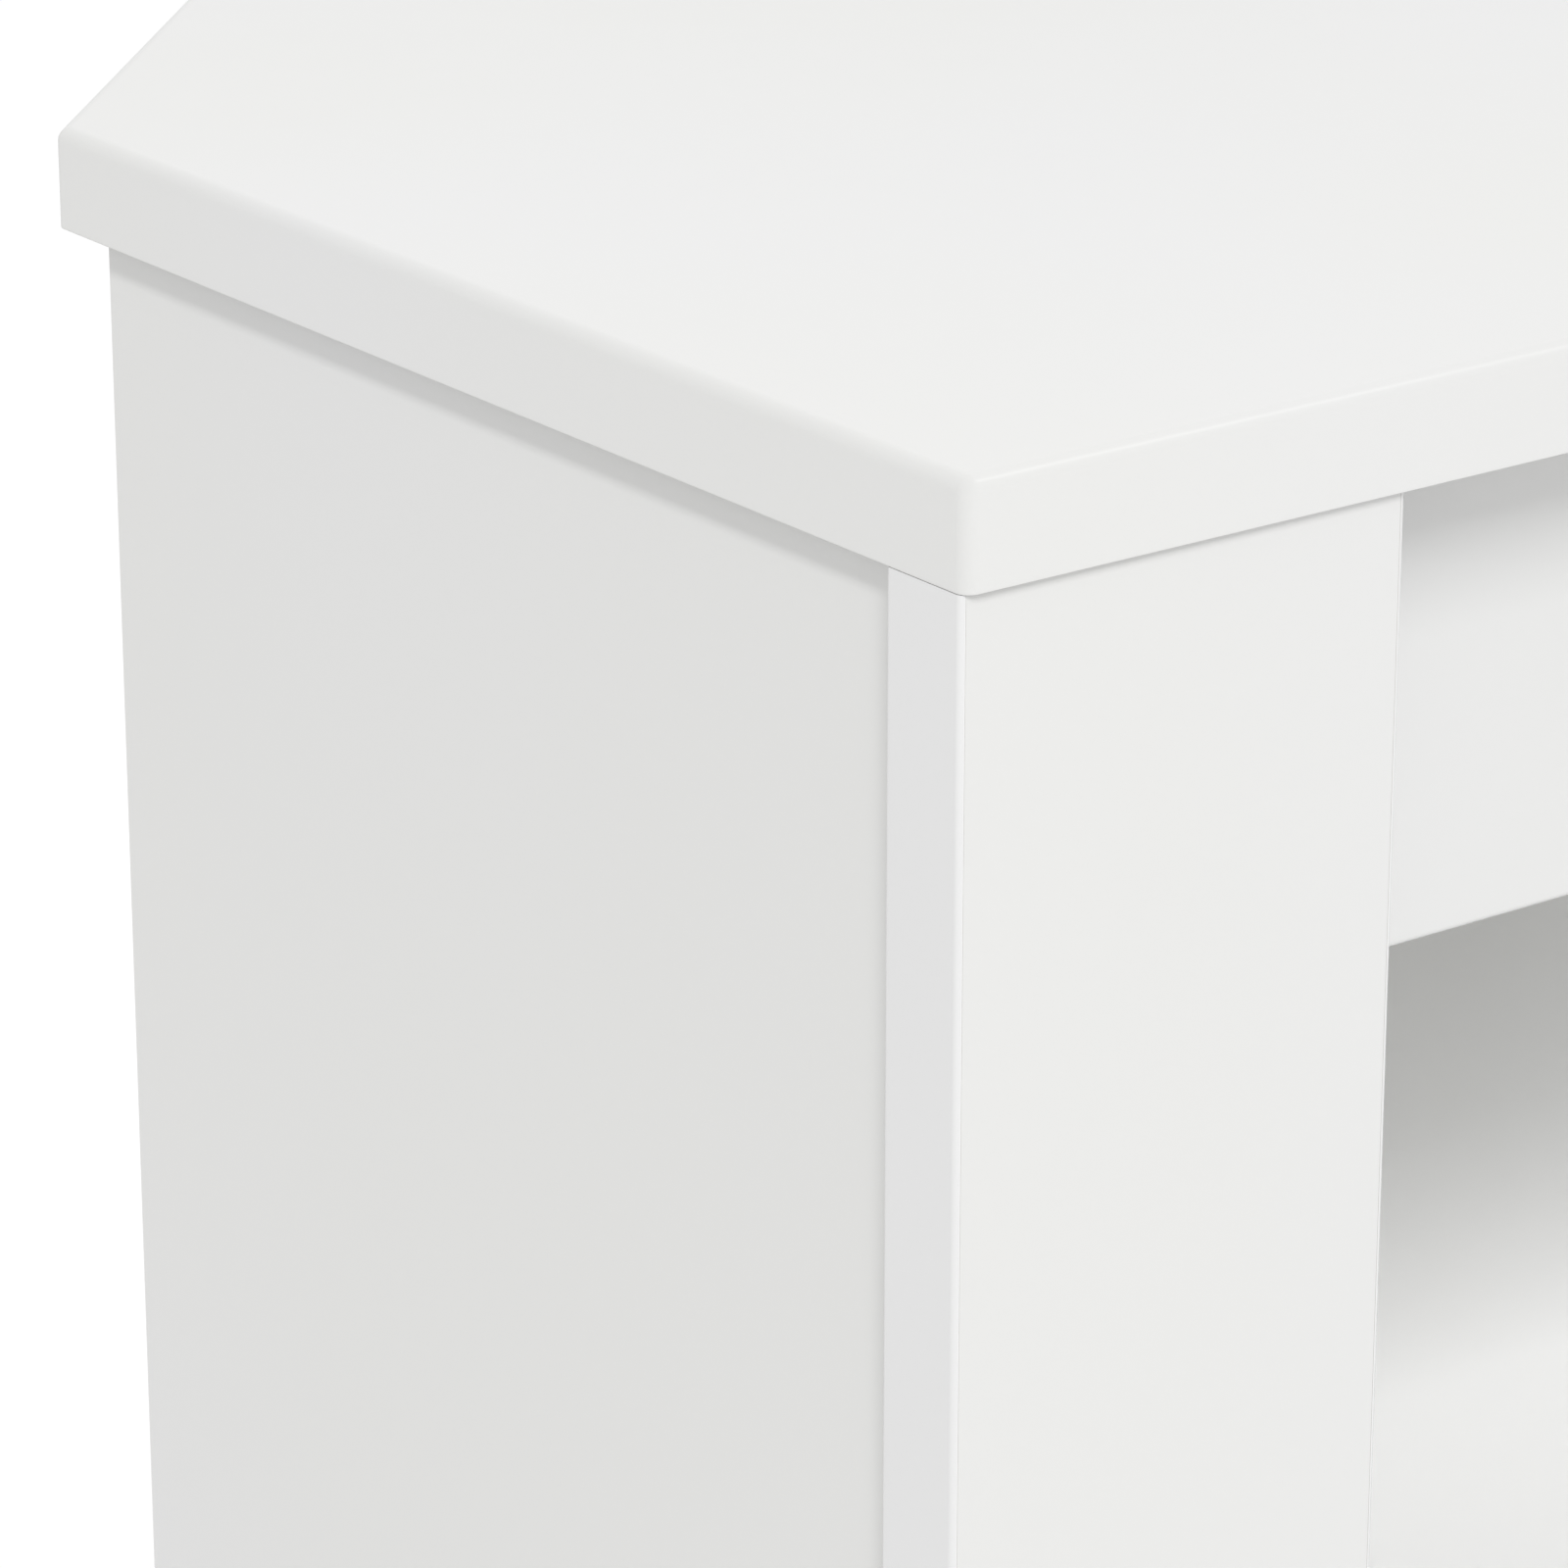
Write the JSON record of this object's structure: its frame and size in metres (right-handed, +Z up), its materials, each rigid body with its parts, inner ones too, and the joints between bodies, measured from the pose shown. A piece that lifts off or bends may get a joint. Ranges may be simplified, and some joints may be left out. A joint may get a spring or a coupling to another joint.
{
  "type": "console table",
  "caption": "White board console table with clipped back corners: rounded top, front stiles and apron, an open compartment, and open bays with adjustable shelves below.",
  "frame": {"origin": "on the floor, under the middle of the box round the top's outline", "axes": "+X right along the front, +Y to the back, +Z up"},
  "size_m": [1.1, 0.42, 0.76],
  "materials": {
    "top_foil": "satin white foil on particleboard",
    "board_foil": "satin white foil on particleboard",
    "edge_band": "semi-gloss white plastic edge band",
    "back_board": "white painted fibreboard",
    "zinc": "cast zinc",
    "steel": "zinc-plated steel",
    "beech": "plain beech",
    "white_plastic": "moulded",
    "glide_plastic": "moulded"
  },
  "bodies": {
    "root": {"apron": "board_foil", "back_board": "back_board", "back_nails": "steel", "bottom_shelf": "board_foil", "bottom_shelf_band": "edge_band", "cam_bolts": "steel", "cam_caps": "white_plastic", "cam_locks": "zinc", "fixed_shelf": "board_foil", "fixed_shelf_band": "edge_band", "floor_glides": "glide_plastic", "front_plinth": "board_foil", "left_adjustable_shelf": "board_foil", "left_adjustable_shelf_band": "edge_band", "left_angled_panel": "board_foil", "left_side_panel": "board_foil", "left_stile": "board_foil", "left_stile_inner_band": "edge_band", "left_stile_outer_band": "edge_band", "partition": "board_foil", "partition_band": "edge_band", "rear_plinth": "board_foil", "rear_rail": "board_foil", "right_adjustable_shelf": "board_foil", "right_adjustable_shelf_band": "edge_band", "right_angled_panel": "board_foil", "right_side_panel": "board_foil", "right_stile": "board_foil", "right_stile_inner_band": "edge_band", "right_stile_outer_band": "edge_band", "shelf_pins": "steel", "top_slab": "top_foil", "wooden_dowels": "beech"}
  },
  "joints": []
}
